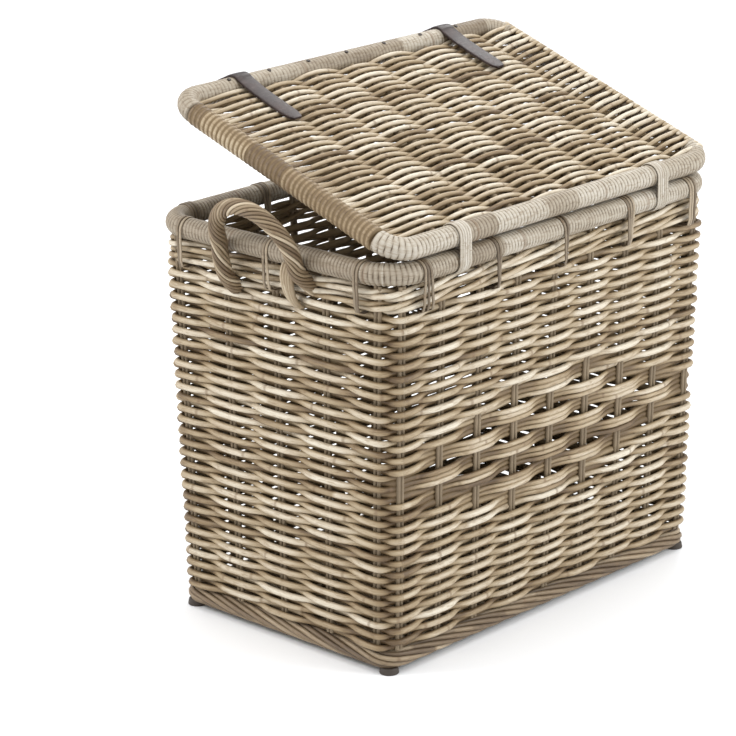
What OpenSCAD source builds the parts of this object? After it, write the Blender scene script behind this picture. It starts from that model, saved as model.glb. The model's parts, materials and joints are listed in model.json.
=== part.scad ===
// Wicker log basket: a woven, slightly tapered box on a plaited foot, with a cane-wrapped rim,
// two twisted rope handles, and a lid that turns in two cane loops on the back of the rim.
// +X runs along the long side, -Y is the front, and Z = 0 is the floor.

/* [Basket] */
// Overall length over the rim
rim_l = 600; // [480:10:720]
// Overall depth over the rim
rim_d = 400; // [320:10:480]
// Height to the top of the rim
rim_h = 500; // [400:10:620]
// How far the foot is set in from the rim at each end
foot_inset_x = 14; // [8:1:24]
// How far the foot is set in from the rim at the front and the back
foot_inset_y = 24; // [8:1:30]
// How far the top of the wall is set in from the rim
wall_inset = 8; // [6:1:10]
// Thickness of the woven wall, over the weavers
wall_t = 16; // [14:1:18]
// Outer corner radius of the woven wall
wall_corner = 28; // [22:1:34]

/* [Stakes] */
// Diameter of one stake cane
stake_d = 5; // [4:0.5:6]
// Distance between the two canes of a stake pair
stake_gap = 5.6; // [5.2:0.2:8]
// Number of stake pairs on the front and on the back
long_stakes = 9; // [5:2:11]
// Number of stake pairs on each end
short_stakes = 5; // [3:2:7]
// Clearance between the stakes and the rods beside them
stake_clear = 0.3; // [0.2:0.1:0.4]

/* [Rim] */
// Diameter of the pole inside the rim and the lid's frame
pole_d = 20; // [16:1:24]
// Thickness of the flat cane wrapped round the pole
wrap_t = 3; // [2:0.5:4]
// Corner radius of the rim, at the pole's centre
rim_corner = 45; // [40:1:60]
// Width of the bindings that hold the rim down
binding_w = 8; // [5:1:12]
// Thickness of those bindings
binding_t = 1.6; // [1.2:0.2:2]
// Number of bindings on the front and on the back
long_bindings = 5; // [3:1:6]
// Number of bindings on each end
short_bindings = 3; // [2:1:3]
// Diameter of the long rods under the rim
wale_d = 6; // [4:0.5:7]
// Distance from one row of rods to the next
wale_pitch = 14; // [11:1:16]
// Height of the open zone between the weave and the rim, where the rods run
wale_zone = 35; // [32:1:42]

/* [Base] */
// Diameter of the plaited border that the walls stand on
border_d = 22; // [18:1:26]
// Height of the corner feet
foot_h = 8; // [5:1:12]
// Diameter of the corner feet
foot_d = 24; // [20:1:30]
// Thickness of the woven base
base_t = 12; // [11:1:14]
// Diameter of the stout sticks in the base
base_stick_d = 9; // [7:1:10]
// Number of stout sticks in the base
base_stick_count = 5; // [3:1:7]

/* [Lid] */
// How far the lid's frame is set in from the rim at each end
lid_inset_x = 5; // [4:1:10]
// How far the lid's front is set in from the rim
lid_inset_front = 10; // [6:1:14]
// Corner radius of the lid, at the pole's centre
lid_corner = 30; // [26:1:45]
// Thickness of the rolled wrapping along the lid's ends
lid_roll_t = 4; // [3:0.5:4.5]
// Thickness of the woven lid panel
lid_weave_t = 16; // [14:1:18]
// Diameter of the lid's ribs
rib_d = 8; // [6:1:10]
// Distance from one rib to the next
rib_pitch = 67.5; // [55:0.5:75]
// Number of ribs in the lid
rib_count = 7; // [5:2:7]
// Angle at which the lid stands open
lid_open = 19.4; // [10:0.1:30]

/* [Hinge loops] */
// Room between the lid's wrapped frame and the rim's bindings
hinge_room = 1.1; // [0.8:0.1:3]
// Width of a cane loop
loop_w = 20; // [14:1:24]
// Thickness of a cane loop
loop_t = 2; // [1.5:0.5:2.5]
// Running clearance inside a cane loop
loop_clear = 0.3; // [0.2:0.1:0.4]
// Number of the stake pair, from the middle, that each loop lies beside
loop_stake = 3; // [1:1:3]

/* [Handles] */
// Diameter of the twisted rope handles
handle_d = 20; // [16:1:24]
// Diameter of the bent stick inside a handle
bow_d = 9.6; // [8:0.4:12]
// Distance between a handle's legs
handle_span = 120; // [90:5:150]
// Height of the middle of a handle above the rim
handle_rise = 47; // [35:1:60]
// Angle at which the handles lean outwards
handle_lean = 22; // [18:1:26]
// How deep the bent stick goes into the weave
bow_depth = 22; // [14:1:26]
// Clearance between a handle and the rim
handle_clear = 0.4; // [0.2:0.1:1]

/* [Straps] */
// Width of the leather straps
strap_w = 24; // [18:1:30]
// Thickness of the leather
strap_t = 3; // [2:0.5:4]
// Distance from the middle of the lid to each strap
strap_x = 182; // [140:5:200]
// Length of a strap on the lid
strap_l = 100; // [60:5:140]
// How far a strap's tail hangs below the lid's frame
strap_drop = 58; // [40:1:60]

/* [Hidden] */
$fn = 48;

pole_r = pole_d / 2;
wrap_r = pole_r + wrap_t;
roll_r = pole_r + lid_roll_t;
wale_r = wale_d / 2;
touch = 0.1; // the smallest gap between two pieces of the same body
function mm(v) = round(v * 100) / 100; // derived sizes are kept to a hundredth

// Rim: the centre of the pole
rim_hx = rim_l / 2 - wrap_r;
rim_hy = rim_d / 2 - wrap_r;
rim_z = rim_h - wrap_r;
rim_under = rim_z - wrap_r;

// Wall: half sizes at the floor and under the rim, and between them
floor_hx = rim_l / 2 - foot_inset_x;
floor_hy = rim_d / 2 - foot_inset_y;
top_hx = rim_l / 2 - wall_inset;
top_hy = rim_d / 2 - wall_inset;
function half_x(z) = mm(floor_hx + (top_hx - floor_hx) * z / rim_under);
function half_y(z) = mm(floor_hy + (top_hy - floor_hy) * z / rim_under);

weave_bottom = foot_h + border_d;
weave_top = rim_under - wale_zone;
scale_x = half_x(weave_top) / half_x(weave_bottom);
scale_y = half_y(weave_top) / half_y(weave_bottom);
wale_low_z = weave_top + (wale_zone - wale_pitch) / 2;
wale_high_z = wale_low_z + wale_pitch;

// Stakes: the middle of each pair at the foot of the wall, as [x, y]
wall_mid = wall_t / 2;
long_pitch = 2 * (half_x(weave_bottom) - wall_corner + wall_mid / 2) / (long_stakes - 1);
short_pitch = 2 * (half_y(weave_bottom) - wall_corner) / (short_stakes - 1);
function row(count, pitch) = [for (i = [0 : count - 1]) (i - (count - 1) / 2) * pitch];
function long_side(side) = [for (x = row(long_stakes, long_pitch), s = [-1, 1])
    [x + s * stake_gap / 2, side * (half_y(weave_bottom) - wall_mid)]];
function short_side(side) = [for (y = row(short_stakes, short_pitch), s = [-1, 1])
    [side * (half_x(weave_bottom) - wall_mid), y + s * stake_gap / 2]];
function taper(p, z) =
    let (t = (z - weave_bottom) / (weave_top - weave_bottom))
    [p.x * (1 + (scale_x - 1) * t), p.y * (1 + (scale_y - 1) * t), z];

// Foot border and base
border_r = border_d / 2;
border_hx = half_x(weave_bottom) - border_r;
border_hy = half_y(weave_bottom) - border_r;
border_z = foot_h + border_r;
base_hx = border_hx - border_r - touch;
base_hy = border_hy - border_r - touch;
base_stick_pitch = 2 * base_hy / (base_stick_count + 1);

// Lid, seen from its hinge axis with the lid shut: -Y runs to the front
lid_hx = rim_hx - lid_inset_x;
lid_depth = 2 * rim_hy - lid_inset_front;
hinge_z = rim_z + 2 * wrap_r + loop_clear + binding_t + hinge_room;
panel_hx = lid_hx - roll_r - touch;
panel_front = lid_depth - wrap_r - touch;
panel_back = wrap_r + touch;
loop_r = wrap_r + loop_clear;
pair_half = (stake_gap + stake_d) / 2;
loop_x = mm(loop_stake * long_pitch - pair_half - loop_w / 2 - 1); // 1 mm off the stakes
loop_room = loop_r + loop_t + 3; // radius that the lid's panel keeps clear of a loop

// Handles: the legs slope in under the rim and end in the weave
bow_r = bow_d / 2;
handle_r = handle_d / 2;
leg_x = mm(rim_hx + (wrap_r + handle_r + handle_clear) / cos(handle_lean)); // at the rim's height
arch_r = handle_span / 2;
apex_z = rim_h + handle_rise;
spring_t = mm((apex_z - rim_z) / cos(handle_lean) - arch_r); // along the leg, from the rim's height
twist_t = -wrap_r; // where the rope ends, under the rim
bow_t = mm((weave_top - bow_depth - rim_z) / cos(handle_lean));

module rounded(hx, hy, r) {
    square([2 * (hx - r), 2 * hy], center = true);
    square([2 * hx, 2 * (hy - r)], center = true);
    for (sx = [-1, 1], sy = [-1, 1])
        translate([sx * (hx - r), sy * (hy - r)]) circle(r);
}

module disc(r_out, r_in = 0) {
    difference() {
        circle(r_out);
        if (r_in > 0) circle(r_in);
    }
}

// A straight tube along X, centred
module bar(length, r_out, r_in = 0) {
    rotate([90, 0, 90]) linear_extrude(length, center = true) disc(r_out, r_in);
}

// A quarter of a bent tube, round the corner of a frame
module bend(r_bend, r_out, r_in = 0) {
    rotate_extrude(angle = 90) translate([r_bend, 0]) disc(r_out, r_in);
}

// A closed frame of tube; hx, hy and r_bend are measured at the tube's centre
module ring(hx, hy, r_bend, r_out, r_in = 0) {
    for (s = [-1, 1]) {
        translate([0, s * hy, 0]) bar(2 * (hx - r_bend), r_out, r_in);
        translate([s * hx, 0, 0]) rotate([0, 0, 90]) bar(2 * (hy - r_bend), r_out, r_in);
    }
    for (i = [0 : 3]) {
        sx = (i == 0 || i == 3) ? 1 : -1;
        sy = (i < 2) ? 1 : -1;
        translate([sx * (hx - r_bend), sy * (hy - r_bend), 0]) rotate([0, 0, 90 * i])
            bend(r_bend, r_out, r_in);
    }
}

// A round rod from a to b
module rod(a, b, r) {
    v = b - a;
    length = norm(v);
    translate(a) rotate([0, acos(v.z / length), atan2(v.y, v.x)]) cylinder(r = r, h = length);
}

module foot(sx, sy) {
    color("#4a3a28")
        translate([sx * (border_hx - border_r / 2), sy * (border_hy - border_r / 2), 0])
        cylinder(d = foot_d, h = foot_h);
}

module foot_border() {
    color("#8d7a5c")
        translate([0, 0, border_z])
        ring(border_hx, border_hy, wall_corner - border_r + 1, border_r);
}

module base_rods(r) {
    for (y = row(base_stick_count, base_stick_pitch))
        translate([0, y, border_z]) bar(2 * base_hx, r);
}

module base_sticks() {
    color("#7a6344") base_rods(base_stick_d / 2);
}

module base_weave() {
    corner = wall_corner - border_r;
    color("#a08a66") difference() {
        translate([0, 0, border_z - base_t / 2]) linear_extrude(base_t)
            rounded(base_hx, base_hy, corner);
        base_rods(base_stick_d / 2 + touch);
    }
}

// The solid inside a tapered wall face that lies off the outer face by inset
module wall_block(inset, past = 0) {
    low = weave_bottom - past;
    high = weave_top + past;
    hull() for (z = [low, high - touch])
        translate([0, 0, z]) linear_extrude(touch)
            rounded(half_x(z) - inset, half_y(z) - inset, wall_corner - inset, $fn = 32);
}

module side_weave() {
    color("#b7a37c") difference() {
        wall_block(0);
        wall_block(wall_t, 1);
    }
}

module stakes(points) {
    color("#6b5436") for (p = points)
        rod(taper(p, weave_bottom), taper(p, rim_under - touch), stake_d / 2);
}

module wale(z) {
    off = stake_d / 2 + stake_clear + wale_r;
    mid_x = half_x(z) - wall_mid;
    mid_y = half_y(z) - wall_mid;
    bend_r = wall_corner - wall_mid;
    color("#c9b48a") translate([0, 0, z]) for (s = [-1, 1])
        ring(mid_x + s * off, mid_y + s * off, bend_r + s * off, wale_r);
}

module rim_rail() {
    color("#5f4a30") translate([0, 0, rim_z]) ring(rim_hx, rim_hy, rim_corner, pole_r);
}

module rim_wrap() {
    color("#b4aa98") translate([0, 0, rim_z])
        ring(rim_hx, rim_hy, rim_corner, wrap_r, pole_r + touch);
}

// A flat cane over the rim, its two legs going down either side of the rods
module binding() {
    inner = wrap_r + loop_clear;
    outer = inner + binding_t;
    leg = rim_z - weave_top - 1;
    rotate([90, 0, 90]) linear_extrude(binding_w, center = true) {
        intersection() {
            disc(outer, inner);
            translate([-outer, 0]) square([2 * outer, outer]);
        }
        for (s = [-1, 1])
            translate([s * (inner + outer) / 2 - binding_t / 2, -leg]) square([binding_t, leg]);
    }
}

module rim_bindings() {
    long_step = 2 * (rim_hx - rim_corner) / (long_bindings - 1);
    short_step = 2 * (rim_hy - rim_corner) / (short_bindings - 1);
    color("#5d4630") for (s = [-1, 1]) {
        for (x = row(long_bindings, long_step))
            translate([x, s * rim_hy, rim_z]) binding();
        for (y = row(short_bindings, short_step))
            translate([s * rim_hx, y, rim_z]) rotate([0, 0, 90]) binding();
    }
}

// The right-hand handle's leaned frame: its Z runs up the legs, from the height of the rim
module handle_frame(side) {
    mirror([side < 0 ? 1 : 0, 0, 0])
        translate([leg_x, 0, rim_z]) rotate([0, handle_lean, 0]) children();
}

module arch(from_t, r_out, r_in) {
    for (s = [-1, 1])
        translate([0, s * arch_r, from_t]) linear_extrude(spring_t - from_t) disc(r_out, r_in);
    translate([0, 0, spring_t]) rotate([90, 0, 90])
        rotate_extrude(angle = 180) translate([arch_r, 0]) disc(r_out, r_in);
}

module handle_bow(side) {
    color("#6b5436") handle_frame(side) arch(bow_t, bow_r, 0);
}

module handle_twist(side) {
    color("#b09a78") handle_frame(side) arch(twist_t, handle_r, bow_r + touch);
}

module hinge_loop(side) {
    color("#c2b59c") translate([side * loop_x, rim_hy, rim_z])
        rotate([90, 0, 90]) linear_extrude(loop_w, center = true)
        difference() {
            stadium(loop_r + loop_t);
            stadium(loop_r);
        }
}

module stadium(r) {
    pitch = hinge_z - rim_z;
    circle(r);
    translate([0, pitch]) circle(r);
    translate([-r, 0]) square([2 * r, pitch]);
}

// Everything on the lid is drawn with the lid shut and turned up to where it stands open
module on_lid() {
    translate([0, rim_hy, hinge_z]) rotate([-lid_open, 0, 0]) children();
}

module lid_frame() {
    color("#5f4a30") on_lid() translate([0, -lid_depth / 2, 0])
        ring(lid_hx, lid_depth / 2, lid_corner, pole_r);
}

// The wrapping of one long rail of the lid and its two corners
module lid_rail_wrap() {
    bar(2 * (lid_hx - lid_corner), wrap_r, pole_r + touch);
    for (i = [0, 1])
        translate([(i == 0 ? 1 : -1) * (lid_hx - lid_corner), -lid_corner, 0])
            rotate([0, 0, 90 * i]) bend(lid_corner, wrap_r, pole_r + touch);
}

module lid_hinge_wrap() {
    color("#b4aa98") on_lid() lid_rail_wrap();
}

module lid_front_wrap() {
    color("#b4aa98") on_lid() translate([0, -lid_depth, 0]) mirror([0, 1, 0]) lid_rail_wrap();
}

module lid_roll(side) {
    color("#9c8c70") on_lid() translate([side * lid_hx, -lid_depth / 2, 0]) rotate([0, 0, 90])
        bar(lid_depth - 2 * lid_corner - 2 * touch, roll_r, pole_r + touch);
}

module rib_rods(r) {
    for (x = row(rib_count, rib_pitch))
        translate([x, -(panel_back + panel_front) / 2, 0]) rotate([0, 0, 90])
            bar(panel_front - panel_back, r);
}

module lid_ribs() {
    color("#6b5436") on_lid() rib_rods(rib_d / 2);
}

module lid_weave() {
    notch = loop_room - panel_back;
    color("#b7a37c") on_lid() difference() {
        translate([0, -(panel_back + panel_front) / 2, -lid_weave_t / 2])
            linear_extrude(lid_weave_t)
            rounded(panel_hx, (panel_front - panel_back) / 2, lid_corner - wrap_r);
        rib_rods(rib_d / 2 + touch);
        for (s = [-1, 1])
            translate([s * loop_x - loop_w / 2 - 2, -panel_back - notch, -lid_weave_t])
                cube([loop_w + 4, notch + 1, 2 * lid_weave_t]);
    }
}

// One nail through the wrapped front rail into the end of each rib
module lid_rib_nails() {
    nail_head_r = 2.5;
    nail_r = 1.2;
    color("#2f2a26") on_lid() for (x = row(rib_count, rib_pitch))
        translate([x, -lid_depth, 0]) {
            cylinder(r = nail_r, h = wrap_r);
            translate([0, 0, wrap_r - 0.5]) cylinder(r = nail_head_r, h = 1.5);
        }
}

// A strap lies on the lid, passes over its front rail and hangs clear of the rim
module strap(side) {
    bed_z = lid_weave_t / 2 + strap_t / 2 + touch;
    over_r = wrap_r + strap_t / 2 + 2 * touch;
    tail_y = lid_inset_front + wrap_r + strap_t / 2 + 0.8;
    rise = asin(bed_z / over_r);
    route = concat(
        [[strap_l, bed_z], [over_r * cos(rise) + 4, bed_z]],
        [for (a = [60 : 15 : 150]) over_r * [cos(a), sin(a)]],
        [[-tail_y, -wrap_r / 2], [-tail_y, -strap_drop]]
    );
    color("#3a3133") on_lid() translate([side * strap_x, -lid_depth, 0])
        rotate([90, 0, 90]) linear_extrude(strap_w, center = true)
        for (i = [0 : len(route) - 2]) hull() {
            translate(route[i]) circle(d = strap_t, $fn = 12);
            translate(route[i + 1]) circle(d = strap_t, $fn = 12);
        }
}

foot(-1, -1);  // foot_front_left
foot(1, -1);  // foot_front_right
foot(-1, 1);  // foot_back_left
foot(1, 1);  // foot_back_right
foot_border();
base_sticks();
base_weave();
side_weave();
stakes(long_side(-1));  // stakes_front
stakes(long_side(1));  // stakes_back
stakes(short_side(-1));  // stakes_left
stakes(short_side(1));  // stakes_right
wale(wale_low_z);  // wale_lower
wale(wale_high_z);  // wale_upper
rim_rail();
rim_wrap();
rim_bindings();
handle_bow(-1);  // handle_left_bow
handle_twist(-1);  // handle_left_twist
handle_bow(1);  // handle_right_bow
handle_twist(1);  // handle_right_twist
hinge_loop(-1);  // hinge_loop_left
hinge_loop(1);  // hinge_loop_right
lid_frame();
lid_hinge_wrap();
lid_front_wrap();
lid_roll(-1);  // lid_left_roll
lid_roll(1);  // lid_right_roll
lid_ribs();
lid_weave();
lid_rib_nails();
strap(-1);  // strap_left
strap(1);  // strap_right
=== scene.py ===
import json
import math

import bmesh
import bpy
import numpy as np
from mathutils import Matrix, Vector


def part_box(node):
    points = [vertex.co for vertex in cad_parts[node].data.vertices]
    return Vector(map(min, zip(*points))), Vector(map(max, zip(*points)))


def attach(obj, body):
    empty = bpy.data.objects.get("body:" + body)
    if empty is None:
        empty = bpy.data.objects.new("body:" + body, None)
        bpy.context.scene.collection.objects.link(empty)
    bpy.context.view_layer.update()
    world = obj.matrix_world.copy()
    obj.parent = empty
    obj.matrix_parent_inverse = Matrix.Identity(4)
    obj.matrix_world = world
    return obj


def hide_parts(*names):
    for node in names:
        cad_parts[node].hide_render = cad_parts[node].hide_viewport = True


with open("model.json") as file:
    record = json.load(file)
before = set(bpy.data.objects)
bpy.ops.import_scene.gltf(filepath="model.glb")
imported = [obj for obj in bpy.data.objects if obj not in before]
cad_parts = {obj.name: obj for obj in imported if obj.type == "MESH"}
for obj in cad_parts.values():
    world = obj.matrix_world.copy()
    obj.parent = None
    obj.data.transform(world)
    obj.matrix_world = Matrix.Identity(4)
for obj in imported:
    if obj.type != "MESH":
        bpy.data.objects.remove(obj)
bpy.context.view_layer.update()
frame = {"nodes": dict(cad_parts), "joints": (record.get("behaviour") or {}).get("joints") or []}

# ---------------------------------------------------------------- floor, light and camera
# A plain pale floor, a bright white room and four large soft lamps: a key from the left, a
# fill from the right, one above and one behind, which puts a sheen on the leather. The camera
# looks down a little at the back corner.
scene = bpy.context.scene
MM = 0.001


def keep(name, mesh, body=None):
    """An object for a mesh, at the origin; it rides on a body if one is named."""
    piece = bpy.data.objects.new(name, mesh)
    scene.collection.objects.link(piece)
    if body:
        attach(piece, body)
    return piece


def lamp(name, at, look, size, power, colour=(1, 1, 1)):
    light = bpy.data.lights.new(name, "AREA")
    light.shape = "DISK"
    light.size = size
    light.energy = power
    light.color = colour
    holder = bpy.data.objects.new(name, light)
    holder.location = at
    holder.rotation_euler = (Vector(look) - Vector(at)).to_track_quat("-Z", "Y").to_euler()
    scene.collection.objects.link(holder)


middle = Vector((0, 0, 0.25))
lamp("key_lamp", (2.3, -1.7, 2.1), middle, 1.0, 44)
lamp("fill_lamp", (-1.5, 2.9, 1.8), middle, 1.9, 64, (0.93, 0.97, 1.0))
lamp("top_lamp", (0.3, 0.3, 2.9), middle, 2.0, 18)
lamp("back_lamp", (-2.2, -1.1, 2.3), middle, 0.8, 20)
world = bpy.data.worlds.new("room")
scene.world = world
world.use_nodes = True
world.node_tree.nodes["Background"].inputs["Color"].default_value = (1, 1, 1, 1)
world.node_tree.nodes["Background"].inputs["Strength"].default_value = 1.18
scene.view_settings.view_transform = "Standard"

floor_mesh = bpy.data.meshes.new("floor")
shape = bmesh.new()
bmesh.ops.create_grid(shape, x_segments=1, y_segments=1, size=30)
shape.to_mesh(floor_mesh)
shape.free()
floor = keep("floor", floor_mesh)
floor_material = bpy.data.materials.new("pale_floor")
floor_material.use_nodes = True
floor_shader = floor_material.node_tree.nodes["Principled BSDF"]
floor_shader.inputs["Base Color"].default_value = (0.845, 0.85, 0.86, 1)
floor_shader.inputs["Roughness"].default_value = 0.9
floor.data.materials.append(floor_material)

azimuth, elevation, roll = math.radians(133.18), math.radians(17.97), math.radians(-0.62)
distance, lens = 3.880, 153.2
shift_left, shift_up = 0.0885, 0.0471
back = Vector((math.sin(azimuth) * math.cos(elevation),
               -math.cos(azimuth) * math.cos(elevation), math.sin(elevation)))
right = Vector((math.cos(azimuth), math.sin(azimuth), 0))
up = back.cross(right)
aim = Vector((0, 0, 0.225)) - right * shift_left + up * shift_up
right_rolled = right * math.cos(roll) + up * math.sin(roll)
up_rolled = up * math.cos(roll) - right * math.sin(roll)
camera_data = bpy.data.cameras.new("camera")
camera_data.lens = lens
camera_data.sensor_width = 36
camera = bpy.data.objects.new("camera", camera_data)
axes = Matrix((right_rolled, up_rolled, back)).transposed().to_4x4()
camera.matrix_world = Matrix.Translation(aim + back * distance) @ axes
scene.collection.objects.link(camera)
scene.camera = camera

# ---------------------------------------------------------------- woven wall
# Single round canes, about 7 mm thick, woven row on row round 28 pairs of stakes: over one
# pair, under the next. On the back wall seven bundles of three canes make a diamond.
rng = np.random.default_rng(11)


class Socket:
    """A node's output. Sums on it add Math nodes."""

    def __init__(self, shader, link):
        self.shader = shader
        self.link = link

    def math(self, operation, first, second):
        return self.shader.node("ShaderNodeMath", {"operation": operation},
                                {0: first, 1: second})

    def __add__(self, other):
        return self.math("ADD", self, other)

    def __sub__(self, other):
        return self.math("SUBTRACT", self, other)

    def __rsub__(self, other):
        return self.math("SUBTRACT", other, self)

    def __mul__(self, other):
        return self.math("MULTIPLY", self, other)

    __radd__ = __add__
    __rmul__ = __mul__

    def step(self, low, high):
        """0 below low and 1 above high, smooth between them."""
        limits = {"interpolation_type": "SMOOTHSTEP"}
        return self.shader.node("ShaderNodeMapRange", limits, {0: self, 1: low, 2: high})


class Shader:
    """A new material and its node tree."""

    def __init__(self, name, **plain):
        self.material = bpy.data.materials.new(name)
        self.material.use_nodes = True
        self.tree = self.material.node_tree
        self.surface = self.tree.nodes["Principled BSDF"]
        for socket, value in plain.items():
            self.surface.inputs[socket.replace("_", " ")].default_value = value

    def node(self, kind, settings=None, inputs=None, out=0):
        made = self.tree.nodes.new(kind)
        for key, value in (settings or {}).items():
            if key == "stops":
                ramp = made.color_ramp
                while len(ramp.elements) < len(value):
                    ramp.elements.new(0.5)
                for element, (place, colour) in zip(ramp.elements, value):
                    element.position = place
                    element.color = (*colour, 1)
            else:
                setattr(made, key, value)
        for key, value in (inputs or {}).items():
            if isinstance(value, Socket):
                self.tree.links.new(value.link, made.inputs[key])
            else:
                made.inputs[key].default_value = value
        return Socket(self, made.outputs[out])

    def mix(self, factor, one, two, kind="MIX"):
        """Two colours mixed; each is a socket or three numbers."""
        pair = [c if isinstance(c, Socket) else (*c, 1) for c in (one, two)]
        settings = {"data_type": "RGBA", "blend_type": kind}
        return self.node("ShaderNodeMix", settings, {0: factor, 6: pair[0], 7: pair[1]}, 2)

    def noise(self, place, stretch, detail=3.0, roughness=0.55):
        spread = self.node("ShaderNodeVectorMath", {"operation": "MULTIPLY"},
                           {0: place, 1: stretch})
        return self.node("ShaderNodeTexNoise", {},
                         {"Vector": spread, "Scale": 1.0, "Detail": detail,
                          "Roughness": roughness})

    def finish(self, colour, roughness, height=None, depth=0.0003, strength=0.6):
        self.tree.links.new(colour.link, self.surface.inputs["Base Color"])
        self.tree.links.new(roughness.link, self.surface.inputs["Roughness"])
        if height is not None:
            bump = self.node("ShaderNodeBump", {},
                             {"Strength": strength, "Distance": depth, "Height": height})
            self.tree.links.new(bump.link, self.surface.inputs["Normal"])
        return self.material


def cane_finish(name, shades, painted_shade_colour, shade_reach=0.6, fibre=1.0):
    """Weathered rattan. shades run from the darkest cane to the palest. The colour after them is
    painted shade for the sides that face inwards and the parts that lie deep in the weave, and
    the number after that sets how far the shade reaches: a lower one shows less of it. The parts
    that stand out are painted paler, as lit. The grain follows each cane's own length, and fibre
    is how strongly it shows."""
    s = Shader(name)
    grain = s.node("ShaderNodeAttribute", {"attribute_name": "grain"}, out=1)
    tone = s.node("ShaderNodeAttribute", {"attribute_name": "tone"}, out=2)
    deep = s.node("ShaderNodeAttribute", {"attribute_name": "deep"}, out=2)
    along = s.node("ShaderNodeSeparateXYZ", {}, {0: grain})
    streak = s.noise(grain, (38, 2100, 2100), 3.0, 0.6)
    blotch = s.noise(grain, (17, 120, 120), 3.0, 0.6)
    patch = s.noise(grain, (5, 20, 20), 2.0)
    stain = s.noise(grain, (75, 330, 330), 3.0, 0.65)
    stops = [(i / (len(shades) - 1), c) for i, c in enumerate(shades)]
    # deep raises the tone where the cane stands out and lowers it where it dips in: a painted
    # highlight on the bends and painted shade between them
    mixed = tone * 0.85 + deep * 0.36 - 0.31 + (patch - 0.5) * 0.8 + (blotch - 0.5) * 0.55
    colour = s.node("ShaderNodeValToRGB", {"stops": stops}, {0: mixed})
    dark_fibre = streak.step(0.60, 0.40) * (0.42 * fibre)
    colour = s.mix(dark_fibre, colour, (0.62, 0.50, 0.36), "MULTIPLY")
    colour = s.mix(stain.step(0.5, 0.66) * 0.5, colour, (0.50, 0.40, 0.29), "MULTIPLY")
    ring_every = 230 * MM
    lap = s.node("ShaderNodeMath", {"operation": "PINGPONG"}, {0: along, 1: ring_every / 2})
    ring = lap.step(0.0032, 0.0004)
    colour = s.mix(ring * 0.55, colour, (0.15, 0.09, 0.045))
    # where the surface faces inwards or lies deep it takes the dark brown given for the inward
    # sides: painted shade, made rougher there too
    painted_light_mask = (deep + (blotch - 0.5) * 0.5).step(shade_reach - 0.9, shade_reach)
    colour = s.mix(1 - painted_light_mask, colour, painted_shade_colour)
    rough = 0.46 + streak * 0.2 + (1 - painted_light_mask) * 0.16
    height = streak * 0.6 + blotch * 0.4 + stain * 0.5 + ring * 0.6
    return s.finish(colour, rough, height, 0.00035, 0.55)


def sweep(name, paths, radii, closed, sides):
    """Round canes along the paths, as one mesh: each path's points in order, sides round each."""
    curve = bpy.data.curves.new(name, "CURVE")
    curve.dimensions = "3D"
    curve.bevel_depth = 1.0
    curve.bevel_resolution = (sides - 4) // 2
    for path, radius in zip(paths, radii):
        spline = curve.splines.new("POLY")
        spline.points.add(len(path) - 1)
        spline.points.foreach_set("co", np.c_[path, np.ones(len(path))].ravel())
        spline.points.foreach_set("radius", np.asarray(radius, float))
        spline.use_cyclic_u = closed
    holder = bpy.data.objects.new(name, curve)
    scene.collection.objects.link(holder)
    ready = holder.evaluated_get(bpy.context.evaluated_depsgraph_get())
    mesh = bpy.data.meshes.new_from_object(ready)
    bpy.data.objects.remove(holder)
    mesh.name = name
    return mesh


def lengths(path):
    """How far along the path each of its points lies."""
    steps = np.linalg.norm(np.diff(path, axis=0), axis=1)
    return np.r_[0, np.cumsum(steps)]


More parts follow.
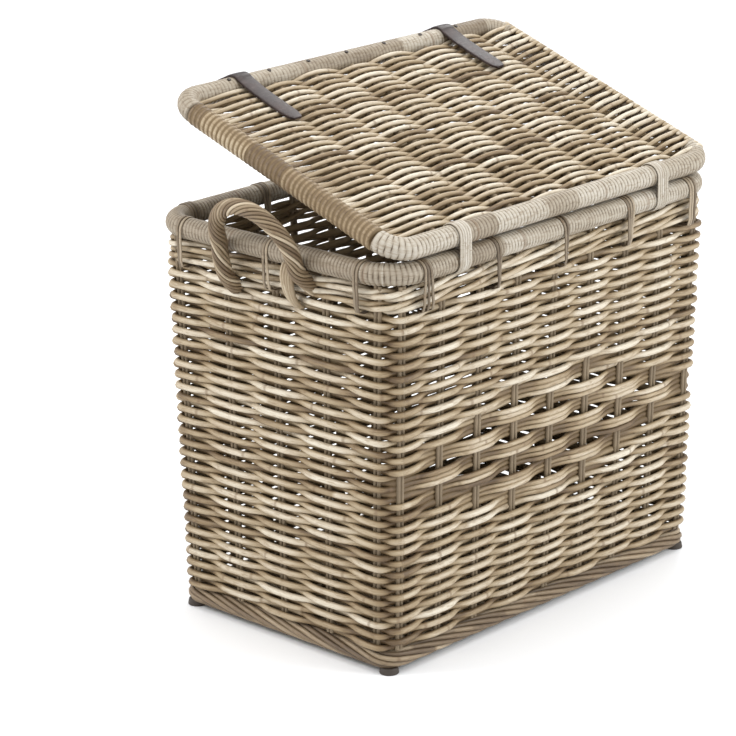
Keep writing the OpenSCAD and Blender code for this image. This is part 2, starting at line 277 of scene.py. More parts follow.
def canes(name, paths, radius, material, body, closed=False, tones=None, outward=None,
          deep=None, swell=None, sides=8, flat=1.0):
    """Canes along paths. outward gives each point's direction out of the weave, and deep how far
    out it lies there, from -1 to 1; tones gives each point's shade from 0 to 1. flat is how
    thick the cane is along outward, as a share of its width. swell says how far the surface
    stands out at a distance along the cane and a turn round it, as a share of the radius."""
    count = len(paths)
    radii = []
    for i, path in enumerate(paths):
        r = radius[i] if np.shape(radius) else radius
        r = r * np.ones(len(path))
        if not closed:
            r[[0, -1]] = 1e-6
            r[[1, -2]] *= 0.8
        radii.append(r)
    mesh = sweep(name, paths, radii, closed, sides)
    place = np.zeros(len(mesh.vertices) * 3)
    mesh.vertices.foreach_get("co", place)
    place = place.reshape(-1, 3)
    centre = np.repeat(np.concatenate(paths), sides, axis=0)
    turn = np.tile(np.arange(sides) * 2 * np.pi / sides, len(centre) // sides)
    start = rng.uniform(0, 40, count)
    run = np.repeat(np.concatenate([lengths(p) + a for p, a in zip(paths, start)]), sides)
    girth = np.repeat(np.concatenate(radii), sides)
    grain = np.c_[run, girth * np.cos(turn), girth * np.sin(turn)]
    if tones is None:
        tones = [np.full(len(p), t) for p, t in zip(paths, rng.uniform(0.15, 0.95, count))]
    tone = np.repeat(np.concatenate(tones), sides)
    if deep is None:
        depth = np.ones(len(centre))
    else:
        out = np.repeat(np.concatenate(outward), sides, axis=0)
        # a side facing out of the weave counts as further out and one facing in as deeper, so the
        # finish paints the outer side lit and the inner side in shade
        facing = np.sum((place - centre) * out, axis=1) / girth
        depth = np.repeat(np.concatenate(deep), sides) + facing
        place = place - out * (facing * girth * (1 - flat))[:, None]
        mesh.vertices.foreach_set("co", place.ravel())
    if swell is not None:
        factor = 1 + swell(run, turn)
        place = centre + (place - centre) * factor[:, None]
        # the grooves between ridges count as deeper and the ridges as further out, so the grooves
        # get painted shade and the ridges a painted highlight
        depth = depth + 20 * (factor - 1)
        mesh.vertices.foreach_set("co", place.ravel())
    for label, kind, values in (("grain", "FLOAT_VECTOR", grain), ("tone", "FLOAT", tone),
                                ("deep", "FLOAT", depth)):
        store = mesh.attributes.new(label, kind, "POINT")
        store.data.foreach_set("vector" if kind[-1] == "R" else "value",
                               np.ascontiguousarray(values, np.float32).ravel())
    shape = bmesh.new()
    shape.from_mesh(mesh)
    bmesh.ops.remove_doubles(shape, verts=shape.verts, dist=2e-5)
    bmesh.ops.recalc_face_normals(shape, faces=shape.faces)
    shape.to_mesh(mesh)
    shape.free()
    mesh.polygons.foreach_set("use_smooth", np.ones(len(mesh.polygons), bool))
    mesh.materials.clear()
    mesh.materials.append(material)
    return keep(name, mesh, body)


# the last colour is painted shade for the canes' inward sides
weave_finish = cane_finish(
    "weathered_cane",
    [(0.11, 0.068, 0.03), (0.235, 0.168, 0.09), (0.37, 0.295, 0.19), (0.50, 0.432, 0.328),
     (0.61, 0.56, 0.46)],
    (0.15, 0.10, 0.045))

# the wall's half sizes at its foot and at its top, less half its thickness
foot_low, foot_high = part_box("foot_border")
wall_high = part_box("side_weave")[1]
wall_mid = 8 * MM
wall_half = np.array([[foot_high.x - wall_mid, foot_high.y - wall_mid],
                      [wall_high.x - wall_mid, wall_high.y - wall_mid]])
corner_bend = 20 * MM
arc_points = 13


def outline(half, bend):
    """Points and outward directions round a rectangle with round corners, from +X +Y onwards."""
    hx, hy = half
    points, outs = [], []
    for i, (sx, sy) in enumerate(((1, 1), (-1, 1), (-1, -1), (1, -1))):
        hub = np.array([sx * (hx - bend), sy * (hy - bend)])
        for a in np.linspace(i * 90, i * 90 + 90, arc_points):
            out = np.array([math.cos(math.radians(a)), math.sin(math.radians(a))])
            points.append(hub + out * bend)
            outs.append(out)
    points.append(points[0])
    outs.append(outs[0])
    return np.array(points), np.array(outs)


def stakes_on_wall():
    """The places of the stake pairs along the wall, counted round the outline."""
    hx, hy = wall_half[0]
    long_inset, end_inset = 24 * MM, 28 * MM
    xs = np.linspace(-1, 1, 9) * (hx + wall_mid - long_inset)
    ys = np.linspace(-1, 1, 5) * (hy + wall_mid - end_inset)
    ring = [(x, hy) for x in xs[::-1]] + [(-hx, y) for y in ys[::-1]]
    ring += [(x, -hy) for x in xs] + [(hx, y) for y in ys]
    return np.array(ring)


ring_points, ring_outs = outline(wall_half[0], corner_bend)
ring_length = lengths(ring_points)
stake_spots = stakes_on_wall()
stake_count = len(stake_spots)


def along_ring(spot):
    """How far round the outline a spot lies."""
    fine = np.linspace(0, ring_length[-1], 4000)
    xs = np.interp(fine, ring_length, ring_points[:, 0])
    ys = np.interp(fine, ring_length, ring_points[:, 1])
    return fine[np.argmin((xs - spot[0]) ** 2 + (ys - spot[1]) ** 2)]


# the stakes as distances that keep growing round the outline, and the first one again
stake_run = np.array([along_ring(s) for s in stake_spots])
stake_run = np.unwrap(stake_run * 2 * np.pi / ring_length[-1]) * ring_length[-1] / (2 * np.pi)
stake_run = np.r_[stake_run, stake_run[0] + ring_length[-1]]
weave_low, weave_high = foot_high.z, wall_high.z
ROWS = 58
PER_GAP = 12
row_pitch = (weave_high - weave_low) / ROWS
swing_out, swing_in = 6.0 * MM, 5.0 * MM
thinnest, thickest = 3.5 * MM, 3.85 * MM
drift_size = 0.55 * MM
# how much fuller the bends are, how the diamond's canes differ, and the painted shade near the
# corners
outer_swell, inner_swell, motif_swell = 0.1, 0.5, 0.15
motif_thinner, motif_pull, motif_shade = 0.15, 0.14, 0.15
corner_reach, corner_painted_shade = 38 * MM, 0.4
motif_widths = (1, 2, 3, 4, 3, 2, 1)
motif_first_row = 38
back_middle = 4


def side_of(row, stake):
    """1 where a row's cane passes outside a stake pair, -1 where it passes inside."""
    bundle = (motif_first_row - row) // 3
    away = abs(stake - back_middle)
    if 0 <= bundle < len(motif_widths) and away <= motif_widths[bundle]:
        return -1 if (away + bundle) % 2 else 1
    return 1 if (row + stake) % 2 else -1


def cane_tones(points, joins):
    """A shade for each point of a row, which changes where a new cane begins."""
    cuts = np.sort(rng.integers(0, points, joins))
    level = np.clip(rng.normal(0.56, 0.24, joins), 0.02, 0.98)
    return level[np.searchsorted(cuts, np.arange(points)) % joins]


def crossing(part, steep, level):
    """How far a cane has crossed from one side to the other, part of the way between two
    stakes. It crosses faster where steep is over 1, and its bends are flatter near level 1."""
    cross = np.clip((part - 0.5) * steep + 0.5, 0, 1)
    return cross - np.sin(2 * np.pi * cross) / (2 * np.pi) * level


def wall_row(row):
    """One row's path, outward directions, depths, radii and shades. In the diamond, the three
    canes of a bundle are thinner and lie close together. Near the corners they get painted
    shade. The inner bends are the fuller ones, and close the wall."""
    t = np.arange(stake_count * PER_GAP) / PER_GAP
    stake = t.astype(int)
    part = t - stake
    run = stake_run[stake] + (stake_run[stake + 1] - stake_run[stake]) * part
    sides = np.array([side_of(row, i % stake_count) for i in range(stake_count + 1)], float)
    sides *= rng.uniform(0.84, 1.08, len(sides))
    sides[-1] = sides[0]
    swing = sides[stake] + (sides[stake + 1] - sides[stake]) * crossing(part, 1.22, 0.9)
    run = run % ring_length[-1]
    x, y = (np.interp(run, ring_length, ring_points[:, i]) for i in (0, 1))
    ox, oy = (np.interp(run, ring_length, ring_outs[:, i]) for i in (0, 1))
    drift = np.interp(t, np.linspace(0, stake_count, 15),
                      np.r_[0, rng.normal(0, drift_size, 13), 0])
    bundle = (motif_first_row - row) // 3
    width = motif_widths[bundle] + 0.5 if 0 <= bundle < len(motif_widths) else -9
    in_motif = np.clip((width - abs(t - back_middle)) * 2, 0, 1)
    from_middle = motif_first_row - 1 - 3 * bundle - row
    z = weave_low + (row + 0.5 + motif_pull * in_motif * from_middle) * row_pitch + drift
    height = (z - weave_low) / (weave_high - weave_low)
    grow = 1 + np.outer(height, wall_half[1] / wall_half[0] - 1)
    off = swing * np.where(swing > 0, swing_out, swing_in)
    path = np.c_[x * grow[:, 0] + ox * off, y * grow[:, 1] + oy * off, z]
    swell_in = inner_swell + (motif_swell - inner_swell) * in_motif
    swell = np.where(swing > 0, outer_swell, swell_in) * np.minimum(swing ** 2, 1)
    radius = rng.uniform(thinnest, thickest) * (1 - motif_thinner * in_motif) * (1 + swell)
    corner = np.hypot(abs(x) - wall_half[0][0], abs(y) - wall_half[0][1])
    near_corner = np.exp(-(corner / corner_reach) ** 2)
    # near the corners the tone is lowered: painted shade
    tone = cane_tones(len(t), 3) - motif_shade * in_motif - corner_painted_shade * near_corner
    return path, np.c_[ox, oy, np.zeros(len(x))], off / wall_mid, radius, tone


def wall_rows(name, first, last):
    paths, outs, deeps, radii, tones = zip(*[wall_row(row) for row in range(first, last)])
    piece = canes(name, paths, radii, weave_finish, "basket", closed=True, tones=tones,
                  outward=outs, deep=deeps)
    return piece


lower_wall = wall_rows("wall_weave_lower", 0, 20)
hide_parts("side_weave")
wall_rows("wall_weave_middle", 20, 39)
wall_rows("wall_weave_upper", 39, ROWS)

# ---------------------------------------------------------------- stakes
# The uprights are pairs of thinner, darker canes. They are seen through the weave and in the
# diamond's windows.


def plain_grain(name, shades, scale=(18, 900, 900)):
    """Grained wood or cane for a plain piece. The grain runs the way its scale is smallest."""
    s = Shader(name)
    place = s.node("ShaderNodeTexCoord", {}, {}, 3)
    streak = s.noise(place, scale, 3.0)
    blotch = s.noise(place, (60, 60, 60), 3.0)
    stops = [(i / (len(shades) - 1), c) for i, c in enumerate(shades)]
    colour = s.node("ShaderNodeValToRGB", {"stops": stops}, {0: streak * 0.6 + blotch * 0.5})
    return s.finish(colour, 0.55 + streak * 0.2, streak + blotch, 0.0003, 0.5)


stake_finish = plain_grain("stake_cane", [(0.08, 0.056, 0.032), (0.17, 0.125, 0.075),
                                          (0.31, 0.24, 0.155)], (900, 900, 18))
for node in ("stakes_front", "stakes_back", "stakes_left", "stakes_right", "base_sticks"):
    frame["nodes"][node].data.materials.clear()
    frame["nodes"][node].data.materials.append(stake_finish)

# ---------------------------------------------------------------- foot border
# The stakes' ends are laid over each other into a rolled border that the walls stand on. It is
# made of strands that wind slowly round a core.
border_half = np.array([foot_high.x, foot_high.y])
border_radius = (foot_high.z - foot_low.z) / 2
border_drop = 2 * MM
border_mid_z = (foot_high.z + foot_low.z) / 2 - border_drop


def frames_along(path, closed):
    """Two directions square to a path at each point, carried along without twisting."""
    if closed:
        ahead = np.roll(path, -1, 0) - np.roll(path, 1, 0)
    else:
        ahead = np.gradient(path, axis=0)
    ahead /= np.linalg.norm(ahead, axis=1)[:, None]
    side = np.cross(ahead[0], [0, 0, 1] if abs(ahead[0][2]) < 0.9 else [1, 0, 0])
    sides = []
    for a in ahead:
        side = side - a * np.dot(side, a)
        side = side / np.linalg.norm(side)
        sides.append(side)
    sides = np.array(sides)
    return sides, np.cross(ahead, sides)


def whole_length(path, closed):
    closing = np.linalg.norm(path[0] - path[-1]) if closed else 0
    return lengths(path)[-1] + closing


def strands(path, count, radius, turns, closed):
    """count strands that wind round a path, and their directions out from it."""
    one, two = frames_along(path, closed)
    share = lengths(path) / whole_length(path, closed)
    made, outs = [], []
    for k in range(count):
        a = 2 * np.pi * (turns * share + k / count)[:, None]
        outs.append(one * np.cos(a) + two * np.sin(a))
        made.append(path + radius * outs[-1])
    return made, outs


def ring_path(half, bend, z, step):
    """Evenly spaced points round a rectangle with round corners, at one height."""
    points, _ = outline(half, bend)
    run = lengths(points)
    count = int(run[-1] / step)
    at = np.arange(count) * run[-1] / count
    x, y = (np.interp(at, run, points[:, i]) for i in (0, 1))
    return np.c_[x, y, np.full(count, z)]


# the last colour is painted shade for the strands' inward sides
border_finish = cane_finish(
    "border_cane",
    [(0.085, 0.055, 0.03), (0.16, 0.112, 0.064), (0.27, 0.205, 0.13), (0.42, 0.345, 0.24)],
    (0.05, 0.03, 0.016), 0.3)
border_bend, border_step = 18 * MM, 6 * MM
border_count, border_turns = 8, 7
border_strand_r, border_core_r = 3.1 * MM, 6.5 * MM
border_wind_r = border_radius - 3.2 * MM
border_path = ring_path(border_half - border_radius, border_bend, border_mid_z, border_step)
border_strands, border_outs = strands(border_path, border_count, border_wind_r,
                                      border_turns, True)
border = canes("rolled_foot_border", border_strands, border_strand_r, border_finish, "basket",
               closed=True, outward=border_outs,
               deep=[np.full(len(border_path), 0.3)] * border_count,
               tones=[cane_tones(len(border_path), 9) for _ in range(border_count)])
border_core = canes("foot_border_core", [border_path], border_core_r, border_finish, "basket",
                    closed=True, tones=[np.zeros(len(border_path))])
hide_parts("foot_border")

# ---------------------------------------------------------------- base
# Canes woven across five stout sticks, inside the border.
base_low, base_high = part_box("base_weave")
stick_low, stick_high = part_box("base_sticks")
stick_count, stick_r = 5, 4.5 * MM
side_reach, end_reach = 6 * MM, 2 * MM
base_pitch, base_cane_r, base_swing = 6.4 * MM, 3.1 * MM, 3.6 * MM
base_steps = 43
stick_spots = np.linspace(stick_low.y + stick_r, stick_high.y - stick_r, stick_count)
edge_spots = np.r_[base_low.y - side_reach, stick_spots, base_high.y + side_reach]
base_z = (base_low.z + base_high.z) / 2
base_paths = []
base_count = int((base_high.x - base_low.x) / base_pitch)
for k, x in enumerate(np.linspace(base_low.x - end_reach, base_high.x + end_reach, base_count)):
    swing = np.array([0] + [(-1) ** (k + i) for i in range(stick_count)] + [0]) * base_swing
    t = np.linspace(0, stick_count + 1, base_steps)
    knot = t.astype(int).clip(0, stick_count)
    ease = (1 - np.cos(np.pi * (t - knot))) / 2
    z = base_z + swing[knot] + (swing[knot + 1] - swing[knot]) * ease
    y = edge_spots[knot] + (edge_spots[knot + 1] - edge_spots[knot]) * (t - knot)
    base_paths.append(np.c_[np.full(len(t), x), y, z])
base = canes("base_weave_canes", base_paths, base_cane_r, weave_finish, "basket",
             tones=[np.full(base_steps, t) for t in rng.uniform(0, 0.6, base_count)])
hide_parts("base_weave")

# ---------------------------------------------------------------- feet
# Four small dark blocks of turned wood under the corners, a little worn at the edge.
foot_finish = plain_grain("foot_wood", [(0.018, 0.013, 0.009), (0.05, 0.036, 0.026)])
foot_taper, worn_edge = 1.5 * MM, 1.4 * MM
for node in ("foot_front_left", "foot_front_right", "foot_back_left", "foot_back_right"):
    low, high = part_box(node)
    hub = (low + high) / 2
    mesh = bpy.data.meshes.new(node + "_turned")
    shape = bmesh.new()
    bmesh.ops.create_cone(shape, cap_ends=True, segments=32, radius1=(high.x - low.x) / 2,
                          radius2=(high.x - low.x) / 2 - foot_taper, depth=high.z - low.z,
                          matrix=Matrix.Translation(hub))
    rims = [e for e in shape.edges if abs(e.verts[0].co.z - e.verts[1].co.z) < 1e-6]
    bmesh.ops.bevel(shape, geom=rims, offset=worn_edge, affect="EDGES", segments=3,
                    profile=0.5, material=-1)
    shape.to_mesh(mesh)
    shape.free()
    mesh.materials.append(foot_finish)
    foot = keep(node + "_turned", mesh, "basket")
    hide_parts(node)

# ---------------------------------------------------------------- wale under the rim
# Two bands of three canes each, which wind together: each cane lies over two pairs of stakes,
# rising as it goes, then drops behind the third. Going round three times makes it one path.
wale_swing, wale_rise, wale_r, wale_bend = 5.2 * MM, 4.6 * MM, 3.3 * MM, 26 * MM
wale_paths, wale_outs, wale_deeps = [], [], []
top_points, top_outs = outline(wall_half[1], wale_bend)
top_run = lengths(top_points)
for node in ("wale_lower", "wale_upper"):
    low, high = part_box(node)
    t = np.arange(3 * stake_count * PER_GAP) / PER_GAP
    knot = t.astype(int) % stake_count
    run = stake_run[knot] + (stake_run[knot + 1] - stake_run[knot]) * (t % 1)
    run = run * top_run[-1] / ring_length[-1] % top_run[-1]
    x, y = (np.interp(run, top_run, top_points[:, i]) for i in (0, 1))
    ox, oy = (np.interp(run, top_run, top_outs[:, i]) for i in (0, 1))
    off = (0.15 - np.cos(2 * np.pi * t / 3)) * wale_swing
    rise = -np.sin(2 * np.pi * t / 3) - 0.25 * np.sin(4 * np.pi * t / 3)
    z = (low.z + high.z) / 2 + rise * wale_rise
    wale_paths.append(np.c_[x + ox * off, y + oy * off, z])
    wale_outs.append(np.c_[ox, oy, 0 * ox])
    wale_deeps.append(off / wall_mid)
wale = canes("wale_canes", wale_paths, wale_r, weave_finish, "basket", closed=True,
             tones=[cane_tones(len(p), 17) for p in wale_paths], outward=wale_outs,
             deep=wale_deeps)
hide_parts("wale_lower", "wale_upper")

# ---------------------------------------------------------------- wrapped rim
# A pole bound round and round with flat cane, each turn lying beside the last, in a pale grey.
rim_low, rim_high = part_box("rim_wrap")
wrap_radius = (rim_high.z - rim_low.z) / 2
rim_z = (rim_high.z + rim_low.z) / 2
rim_half = np.array([rim_high.x, rim_high.y]) - wrap_radius
rim_bend, wrap_step, wrap_proud = 45 * MM, 1.05 * MM, 0.4 * MM
shade_every = 70 * MM
# the last colour is painted shade for the grooves between the turns and the inward sides
wrap_finish = cane_finish(
    "flat_cane_wrapping",
    [(0.17, 0.13, 0.085), (0.27, 0.225, 0.165), (0.37, 0.33, 0.265), (0.48, 0.445, 0.385)],
    (0.085, 0.06, 0.036), 0.45, 0.7)


def wound(name, path, radius, finish, body, pitch, ridge, closed=False, shade=0.0):
    """A tube with one ridge for each turn of the cane wound round it."""
    whole = whole_length(path, closed)
    turns = round(whole / pitch)

    def swell(run, turn):
        share = ((run - run[0]) / whole * turns - turn / (2 * np.pi)) % 1
        return -ridge * (1 - np.sqrt(np.clip(1 - (2 * share - 1) ** 2, 0, 1))) / radius

    return canes(name, [path], radius, finish, body, closed, swell=swell, sides=20,
                 tones=[cane_tones(len(path), max(3, int(whole / shade_every))) + shade])


rim_path = ring_path(rim_half, rim_bend, rim_z, wrap_step)
rim = wound("wrapped_rim", rim_path, wrap_radius + wrap_proud, wrap_finish, "basket",
            pitch=5.2 * MM, ridge=1.3 * MM, closed=True)
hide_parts("rim_wrap", "rim_rail")

# ---------------------------------------------------------------- rim bindings
# Two or three thin brown split canes side by side, often slanted or crossed. They go over the
# rim, down across the wale, and back through under it between the stakes.
# the last colour is painted shade for the inward sides; with the number 0 little of it shows
binding_finish = cane_finish(
    "binding_cane",
    [(0.055, 0.036, 0.02), (0.125, 0.09, 0.053), (0.34, 0.28, 0.20)],
    (0.05, 0.028, 0.014), 0.0)
strand_r, strand_gap = 2.2 * MM, 4.9 * MM


def loop_outward(path):
    """Directions square to a flat closed loop, pointing away from its middle."""
    middle_out = path - path.mean(0)
    ahead = np.roll(path, -1, 0) - np.roll(path, 1, 0)
    ahead /= np.linalg.norm(ahead, axis=1)[:, None]
    square = middle_out - ahead * np.sum(middle_out * ahead, axis=1)[:, None]
    return square / np.linalg.norm(square, axis=1)[:, None]


def binding_loop(spot, outward, offset, lean):
    """One closed strand round the rim and the wale, in the plane of outward and Z."""
    across = np.array([-outward[1], outward[0], 0.0])
    over = wrap_radius + 0.65 * MM
    flat = [(over * math.cos(a), over * math.sin(a)) for a in np.radians(np.arange(0, 181, 15))]
    flat += [(-14.6 * MM, -14 * MM), (-14.6 * MM, -30 * MM), (-13.6 * MM, -42 * MM),
             (-9 * MM, -46.5 * MM), (3 * MM, -47.5 * MM), (10 * MM, -45 * MM),
             (12.4 * MM, -37 * MM), (12.6 * MM, -24 * MM), (13.6 * MM, -13 * MM)]
    flat = np.array(flat)
    slip = offset + lean * flat[:, 1] / (60 * MM)
    hub = np.array([spot[0], spot[1], rim_z])
    out = np.array([outward[0], outward[1], 0.0])
    return hub + np.outer(flat[:, 0], out) + np.outer(slip, across) + np.outer(
        flat[:, 1], [0, 0, 1])


binding_paths = []
for side in (-1, 1):
    spots = [((x, side * rim_half[1]), (0, side))
             for x in np.linspace(-1, 1, 5) * (rim_half[0] - rim_bend)]
    spots += [((side * rim_half[0], y), (side, 0))
              for y in np.linspace(-1, 1, 3) * (rim_half[1] - rim_bend)]
    for spot, outward in spots:
        lean = rng.uniform(-3, 3) * MM
        cross = rng.uniform(-0.9, 1.7)
        strands_here = rng.integers(2, 4)
        for offset in (np.arange(strands_here) - (strands_here - 1) / 2) * strand_gap:
            binding_paths.append(binding_loop(spot, outward, offset, lean + offset * cross))
bindings = canes("rim_binding_strands", binding_paths, strand_r, binding_finish, "basket",
                 closed=True, outward=[loop_outward(p) for p in binding_paths],
                 deep=[np.full(len(p), 0.6) for p in binding_paths], flat=0.42)
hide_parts("rim_bindings")

# ---------------------------------------------------------------- rope handles
# Eleven thin canes twisted round a bent stick. The legs pass outside the rim and turn into the
# wall under it; by one leg of each handle the spare ends come out as a flat bunch.
# the last colour is painted shade for the strands' inward sides
rope_finish = cane_finish(
    "handle_rope",
    [(0.10, 0.063, 0.032), (0.185, 0.13, 0.072), (0.30, 0.235, 0.15), (0.47, 0.395, 0.285)],
    (0.055, 0.034, 0.018), 0.5)
arch_lean = math.radians(22)
rope_low, rope_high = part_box("handle_right_twist")
rope_r, rope_strand_r = 10 * MM, 2.05 * MM
rope_count, rope_turns, rope_points = 11, -3.6, 110
spare_count, spare_r, spare_points = 5, 2.15 * MM, 31
arch_r = (rope_high.y - rope_low.y) / 2 - rope_r
spring_x = rope_high.x - rope_r - arch_r * math.sin(arch_lean)
spring_z = rope_high.z - rope_r - arch_r * math.cos(arch_lean)
arch_turn = np.linspace(np.pi, 0, 56)
arch = np.c_[spring_x + arch_r * np.sin(arch_turn) * math.sin(arch_lean),
             arch_r * np.cos(arch_turn),
             spring_z + arch_r * np.sin(arch_turn) * math.cos(arch_lean)]
long_leg = np.array([[-30, 0, -63], [-19, 0, -54], [-9, 0, -42], [-3.5, 0, -28],
                     [-0.8, 0, -14]]) * MM + [spring_x, -arch_r, spring_z]
short_leg = np.array([[-34, 0, -45], [-27, 0, -35], [-17, 0, -27], [-7.5, 0, -19],
                      [-1.5, 0, -10.5]]) * MM + [spring_x, arch_r, spring_z]


def softened(path, at, count, times):
    """The path as count evenly spaced points, with its bends eased. at gives its points' runs."""
    even = np.linspace(0, at[-1], count)
    eased = np.stack([np.interp(even, at, values) for values in path.T], 1)
    for _ in range(times):
        eased[1:-1] = (eased[:-2] + 2 * eased[1:-1] + eased[2:]) / 4
    return eased


rope_line = np.r_[long_leg, arch, short_leg[::-1]]
rope_line = softened(rope_line, lengths(rope_line), rope_points, 3)
for side, name in ((1, "handle_right"), (-1, "handle_left")):
    line = rope_line * [side, side, 1]
    twist, twist_outs = strands(line, rope_count, rope_r - 2 * MM, rope_turns, False)
    rope = canes(name + "_rope", twist, rope_strand_r, rope_finish, "basket",
                 outward=twist_outs, deep=[np.full(rope_points, 0.4)] * rope_count,
                 tones=[np.full(rope_points, t) for t in rng.uniform(0.0, 1.0, rope_count)])
    core = canes(name + "_core", [line], rope_r - 3.4 * MM, rope_finish, "basket",
                 tones=[np.zeros(rope_points)])
    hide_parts(name + "_twist")
    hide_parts(name + "_bow")
    tails = []
    for k in range(spare_count):
        x = rim_half[0] + np.array([5, 12, 15.5, 16, 14, 7, -4]) * MM
        spread = (k - spare_count // 2) * np.array([4.2, 4.3, 4.2, 3.8, 3.2, 2.6, 2.2])
        y = arch_r * 0.62 + (np.array([-3, -2, -1, 1, 3, 5, 6]) + spread) * MM
        z = rim_z - np.array([4, 13.5, 22, 33, 45, 56 + (k % 2) * 3, 62]) * MM
        tail = softened(np.c_[x, y, z], range(len(x)), spare_points, 4)
        tails.append(tail * [side, side, 1])
    ends = canes(name + "_spare_ends", tails, spare_r, rope_finish, "basket",
                 tones=[np.full(spare_points, t) for t in rng.uniform(0.5, 1.0, spare_count)])

# ---------------------------------------------------------------- lid
# A pole frame with seven ribs. The canes run from end to end over and under the ribs; at the
# left-hand rail each one winds round the pole, at the right-hand rail a tight roll covers them.
hinge = frame["joints"][0]
hinge_at = np.array(hinge["pos_m"])
lid_open = -math.radians(hinge["range_deg"][0])
lid_turn = np.array([[1, 0, 0], [0, math.cos(lid_open), math.sin(lid_open)],
                     [0, -math.sin(lid_open), math.cos(lid_open)]])
frame_low, frame_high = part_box("lid_frame")
pole_r, lid_bend = 10 * MM, 30 * MM
rib_count, rib_pitch = 7, 67.5 * MM
panel_half_t = 8 * MM
rail_gap = 3.2 * MM
wind_points = 16
lid_half = frame_high.x - pole_r
lid_depth = (hinge_at[1] - frame_low.y - pole_r) / math.cos(lid_open)


def on_lid(points):
    """From the lid's own flat frame, with its hinge line at the origin, to where it stands."""
    return np.asarray(points) @ lid_turn.T + hinge_at


lid_up = lid_turn @ np.array([0, 0, 1.0])
rib_spots = (np.arange(rib_count) - rib_count // 2) * rib_pitch
lid_swing = 5.6 * MM
lid_rows = 56
panel_back, panel_front = -(wrap_radius + rail_gap), -(lid_depth - wrap_radius - rail_gap)
loop_low, loop_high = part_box("hinge_loop_right")
loop_mid = (loop_low.x + loop_high.x) / 2
lid_paths, lid_outs, lid_deeps, lid_tones = [], [], [], []
for row in range(lid_rows):
    y = panel_back + (panel_front - panel_back) * row / (lid_rows - 1)
    first = 1 if row % 2 else -1
    knots_x = [lid_half - 6 * MM, *rib_spots[::-1], -lid_half + 11 * MM]
    knots_z = [0.0] + [first * (-1) ** i for i in range(rib_count)]
    last = -knots_z[-1]
    knots_z = np.array(knots_z + [last * 1.55]) * lid_swing
    knots_z[1:-1] *= rng.uniform(0.88, 1.08, rib_count)
    t = np.arange((rib_count + 1) * PER_GAP + 1) / PER_GAP
    knot = t.astype(int).clip(0, rib_count)
    part = t - knot
    x = np.array(knots_x)[knot] + np.diff(knots_x)[knot] * part
    z = knots_z[knot] + np.diff(knots_z)[knot] * crossing(part, 1.0, 0.75)
    wind = np.radians(np.linspace(62, 300, wind_points))
    ring_r = pole_r + 0.8 * MM
    x = np.r_[x, -lid_half + ring_r * np.cos(wind)]
    z = np.r_[z, last * ring_r * np.sin(wind)]
    drift = np.interp(np.arange(len(x)), np.linspace(0, len(x), 8), rng.normal(0, 0.5, 8)) * MM
    flat = np.c_[x, y + drift, z]
    lid_paths.append(on_lid(flat))
    lid_outs.append(np.tile(lid_up, (len(x), 1)))
    lid_deeps.append(np.r_[z[:len(t)] / panel_half_t, np.full(wind_points, 0.55)])
    lid_tones.append(cane_tones(len(x), 2))
for name, first, last in (("lid_weave_back", 0, lid_rows // 2),
                          ("lid_weave_front", lid_rows // 2, lid_rows)):
    panel = canes(name, lid_paths[first:last], rng.uniform(2.85, 3.2, last - first) * MM,
                  weave_finish, "lid", tones=lid_tones[first:last],
                  outward=lid_outs[first:last], deep=lid_deeps[first:last])
    if first == 0:
        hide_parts("lid_weave")
frame["nodes"]["lid_ribs"].data.materials.clear()
frame["nodes"]["lid_ribs"].data.materials.append(stake_finish)


def flat_bar(x0, y0, x1, y1, step=wrap_step):
    """Evenly spaced points from one end of a straight bar to the other, in the lid's frame."""
    count = max(2, int(math.hypot(x1 - x0, y1 - y0) / step))
    s = np.linspace(0, 1, count)
    return np.c_[x0 + (x1 - x0) * s, y0 + (y1 - y0) * s, 0 * s]


def rail_line(y, into):
    """A long rail's middle line with its two corners; into is the way to the lid's middle."""
    turn = np.radians(np.linspace(0, 90, int(lid_bend * math.pi / 2 / wrap_step)))
    hub = lid_half - lid_bend
    one = np.c_[hub + lid_bend * np.cos(turn), y + into * lid_bend * (1 - np.sin(turn)), 0 * turn]
    bar = flat_bar(hub, y, -hub, y)[1:-1]
    return np.r_[one, bar, (one * [-1, 1, 1])[::-1]]


hinge_rail = wound("lid_hinge_rail", on_lid(rail_line(0.0, -1)), wrap_radius + wrap_proud,
                   wrap_finish, "lid", pitch=5.8 * MM, ridge=1.3 * MM)
front_rail = wound("lid_front_rail", on_lid(rail_line(-lid_depth, 1)), wrap_radius + 0.3 * MM,
                   wrap_finish, "lid", pitch=5.8 * MM, ridge=1.0 * MM)
roll_low, roll_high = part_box("lid_right_roll")
roll_r = (roll_high.x - roll_low.x) / 2
roll_line = flat_bar(lid_half, -lid_bend, lid_half, -lid_depth + lid_bend)
roll = wound("lid_right_roll_canes", on_lid(roll_line), roll_r + 0.1 * MM, weave_finish, "lid",
             pitch=7.2 * MM, ridge=2.0 * MM, shade=-0.4)
pole_line = flat_bar(-lid_half, -lid_bend, -lid_half, -lid_depth + lid_bend, 9 * MM)
pole = canes("lid_left_pole", [on_lid(pole_line)], pole_r - 0.5 * MM, binding_finish, "lid")
for piece, node, slot in ((hinge_rail, "lid_hinge_wrap", "wrapping"),
                          (front_rail, "lid_front_wrap", "wrapping"),
                          (roll, "lid_right_roll", "roll")):
    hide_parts(node)
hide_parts("lid_left_roll", "lid_frame")

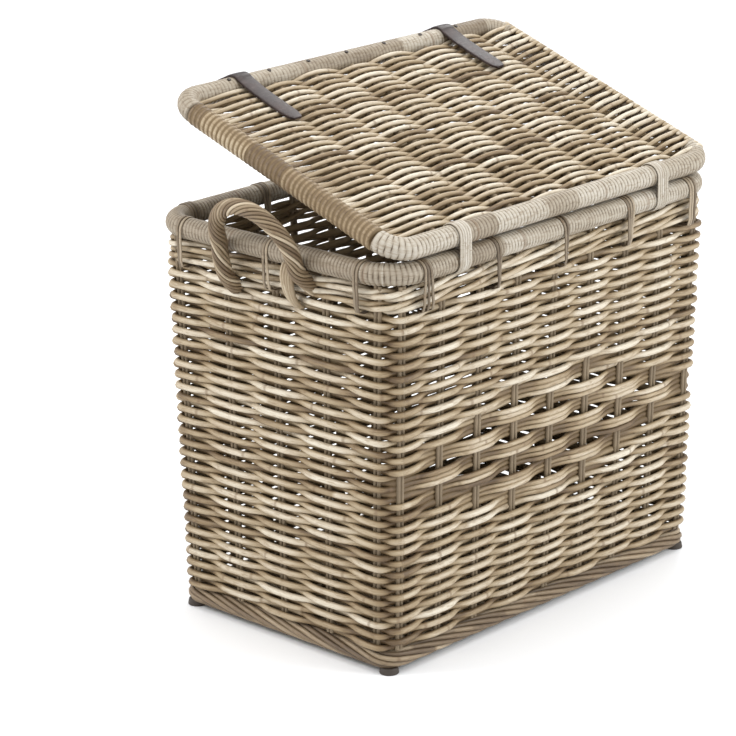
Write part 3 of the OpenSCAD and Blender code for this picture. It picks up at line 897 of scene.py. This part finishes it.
# ---------------------------------------------------------------- hinge loops
# Two bands of thin pale canes, laid side by side round the lid's rail and the rim together.
loop_canes = 5
loop_spread = (loop_high.x - loop_low.x) / loop_canes
loop_paths = []
for side in (-1, 1):
    turn = np.radians(np.linspace(0, 180, 13))
    over = wrap_radius + 1.75 * MM
    pitch = hinge_at[2] - rim_z
    top = np.c_[over * np.cos(turn), pitch + over * np.sin(turn)]
    low_half = np.c_[-over * np.cos(turn), -over * np.sin(turn)]
    flat = np.r_[top, low_half]
    for k in range(loop_canes):
        x = side * loop_mid + (k - (loop_canes - 1) / 2) * loop_spread
        loop_paths.append(np.c_[np.full(len(flat), x), rim_half[1] + flat[:, 0],
                                rim_z + flat[:, 1]])
loop_tones = rng.uniform(0.4, 0.9, 2 * loop_canes)
loops = canes("hinge_loop_bands", loop_paths, loop_spread * 0.53, wrap_finish, "basket",
              closed=True, outward=[loop_outward(p) for p in loop_paths],
              deep=[np.full(len(p), 0.6) for p in loop_paths], flat=0.5,
              tones=[np.full(len(p), t) for p, t in zip(loop_paths, loop_tones)])
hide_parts("hinge_loop_left", "hinge_loop_right")

# ---------------------------------------------------------------- leather straps
# Dark brown bridle leather, cut to a band. It lies on the lid, bends over the front rail and
# hangs in front of it. Its inner end is cut to a point, and creases run all over it.
leather = Shader("strap_leather", Specular_IOR_Level=0.22)
skin = leather.node("ShaderNodeTexCoord", {}, {}, 3)
pores = leather.noise(skin, (1500, 1500, 1500), 3.0)
cloudy = leather.noise(skin, (45, 45, 45), 3.0)
crease = leather.noise(skin, (60, 420, 420), 2.0)
leather_colour = leather.mix(cloudy.step(0.35, 0.7), (0.020, 0.012, 0.011), (0.05, 0.034, 0.031))
leather_colour = leather.mix(crease.step(0.58, 0.7) * 0.5, leather_colour, (0.085, 0.062, 0.057))
leather_finish = leather.finish(leather_colour, 0.36 + cloudy * 0.2,
                                pores * 0.5 + crease * 0.8, 0.0003, 0.5)
strap_low, strap_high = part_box("strap_right")
strap_width = strap_high.x - strap_low.x
strap_mid = (strap_low.x + strap_high.x) / 2
strap_t = 3 * MM
strap_over = wrap_radius + strap_t / 2 + 0.4 * MM
strap_bed = panel_half_t + strap_t / 2 + 0.6 * MM
strap_tail = 10 * MM + wrap_radius + strap_t / 2 + 0.8 * MM
strap_ends = {0: 0.5, 1: 0.78, 2: 0.92, 3: 0.98}
strap_line = [(d * MM, strap_bed) for d in (100, 96, 90, 83, 66, 45)]
strap_line += [(24 * MM, strap_bed + 1 * MM)]
strap_line += [(strap_over * math.cos(a), strap_over * math.sin(a))
               for a in np.radians(np.arange(65, 155, 10))]
strap_line += [(-strap_tail + 2 * MM, -2 * MM), (-strap_tail, -12 * MM),
               (-strap_tail, -35 * MM), (-strap_tail, -58 * MM)]
strap_line = np.array(strap_line)
strap_ahead = np.gradient(strap_line, axis=0)
strap_square = strap_ahead[:, ::-1] * [-1, 1] / np.linalg.norm(strap_ahead, axis=1)[:, None]
for side, node in ((-1, "strap_left"), (1, "strap_right")):
    mesh = bpy.data.meshes.new(node + "_leather")
    shape = bmesh.new()
    bmesh.ops.create_grid(shape, x_segments=len(strap_line) - 1, y_segments=6, size=0.5)
    bmesh.ops.solidify(shape, geom=shape.faces[:], thickness=1.0)
    lowest = min(v.co.z for v in shape.verts)
    for v in shape.verts:
        k = round((v.co.x + 0.5) * (len(strap_line) - 1))
        y, z = strap_line[k] + strap_square[k] * (v.co.z - lowest - 0.5) * strap_t
        x = side * strap_mid + v.co.y * strap_width * strap_ends.get(k, 1)
        v.co = Vector(on_lid([x, -lid_depth + y, z + 0.5 * MM * (1 - (2 * v.co.y) ** 2)]))
    bmesh.ops.recalc_face_normals(shape, faces=shape.faces)
    shape.to_mesh(mesh)
    shape.free()
    mesh.polygons.foreach_set("use_smooth", np.ones(len(mesh.polygons), bool))
    mesh.materials.append(leather_finish)
    strap = keep(node + "_leather", mesh, "lid")
    soft = strap.modifiers.new("edge", "BEVEL")
    soft.width = 0.8 * MM
    soft.segments = 3
    soft.limit_method = "ANGLE"
    round_off = strap.modifiers.new("round", "SUBSURF")
    round_off.levels = round_off.render_levels = 2
    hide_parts(node)

# ---------------------------------------------------------------- rib nails
# Small dark heads along the front rail, one over each rib.
nail = Shader("nail_head", Metallic=0.6)
rust = nail.noise(nail.node("ShaderNodeTexCoord", {}, {}, 3), (700, 700, 700), 3.0)
nail_finish = nail.finish(nail.mix(rust.step(0.4, 0.65), (0.02, 0.018, 0.017),
                                   (0.07, 0.05, 0.04)), 0.45 + rust * 0.3, rust, 0.0002)
frame["nodes"]["lid_rib_nails"].data.materials.clear()
frame["nodes"]["lid_rib_nails"].data.materials.append(nail_finish)
